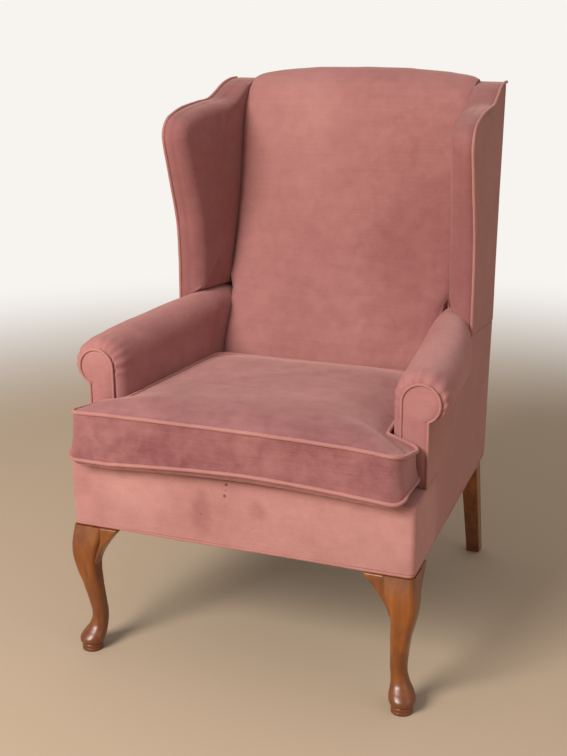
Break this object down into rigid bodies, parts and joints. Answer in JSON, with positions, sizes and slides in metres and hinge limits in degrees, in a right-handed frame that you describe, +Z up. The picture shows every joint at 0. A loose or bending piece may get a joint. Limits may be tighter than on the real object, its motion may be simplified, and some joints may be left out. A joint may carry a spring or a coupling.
{
  "type": "wing armchair",
  "caption": "Upholstered wing armchair with rolled arms, a raked padded back, a loose T-shaped seat cushion and carved cabriole front legs.",
  "frame": {"origin": "on the floor, in the middle of the chair's overall width and depth", "axes": "+X to the right in a front view, +Y towards the back of the chair, +Z up"},
  "size_m": [0.74, 0.792, 1.091],
  "materials": {
    "frame_wood": "sawn, unfinished",
    "leg_wood": "stained and satin varnished",
    "velvet": "dusty rose cut pile, worn",
    "padding": "foam and cotton felt",
    "burlap": "coarse jute weave",
    "webbing": "woven jute band",
    "deck_cloth": "plain cotton",
    "dust_cloth": "black non-woven cloth",
    "zip_tape": "woven tape with coil teeth",
    "zip_metal": "dull",
    "spring_steel": "oiled wire and plated fasteners"
  },
  "bodies": {
    "chair_frame": {"arm_board_left": "frame_wood", "arm_board_right": "frame_wood", "arm_facing_left": "velvet", "arm_facing_right": "velvet", "arm_facing_welts": "velvet", "arm_pad_left": "padding", "arm_pad_right": "padding", "arm_post_left": "frame_wood", "arm_post_right": "frame_wood", "arm_tack_rail_left": "frame_wood", "arm_tack_rail_right": "frame_wood", "back_burlap": "burlap", "back_pad": "padding", "back_webbing": "webbing", "bottom_welt": "velvet", "corner_block_screws": "spring_steel", "corner_blocks": "frame_wood", "crest_rail": "frame_wood", "dust_cover": "dust_cloth", "dust_cover_staples": "spring_steel", "front_edge_roll": "padding", "front_leg_left": "leg_wood", "front_leg_right": "leg_wood", "front_rail_cover": "velvet", "front_seat_rail": "frame_wood", "inside_arm_cover_left": "velvet", "inside_arm_cover_right": "velvet", "inside_back_cover": "velvet", "knee_blocks": "leg_wood", "lower_back_rail": "frame_wood", "outside_arm_panel_left": "velvet", "outside_arm_panel_right": "velvet", "outside_back_panel": "velvet", "outside_wing_panel_left": "velvet", "outside_wing_panel_right": "velvet", "rear_leg_left": "leg_wood", "rear_leg_right": "leg_wood", "rear_seat_rail": "frame_wood", "seat_burlap": "burlap", "seat_deck_cover": "deck_cloth", "seat_deck_pad": "padding", "seat_springs": "spring_steel", "side_seat_rail_left": "frame_wood", "side_seat_rail_right": "frame_wood", "spring_clips": "spring_steel", "wing_cover_left": "velvet", "wing_cover_right": "velvet", "wing_pad_left": "padding", "wing_pad_right": "padding", "wing_post_left": "frame_wood", "wing_post_right": "frame_wood", "wing_top_rail_left": "frame_wood", "wing_top_rail_right": "frame_wood", "wing_welts": "velvet"},
    "seat_cushion": {"cushion_core": "padding", "cushion_cover": "velvet", "cushion_welts": "velvet", "cushion_zip": "zip_tape"},
    "zip_slider": {"zip_slider": "zip_metal"}
  },
  "joints": [
    {"name": "cushion_lift", "type": "slide", "parent": "chair_frame", "child": "seat_cushion", "axis": [0, 0, 1], "range_m": [0, 0.26]},
    {"name": "zip_slide", "type": "slide", "parent": "seat_cushion", "child": "zip_slider", "axis": [1, 0, 0], "range_m": [0, 0.3]}
  ]
}
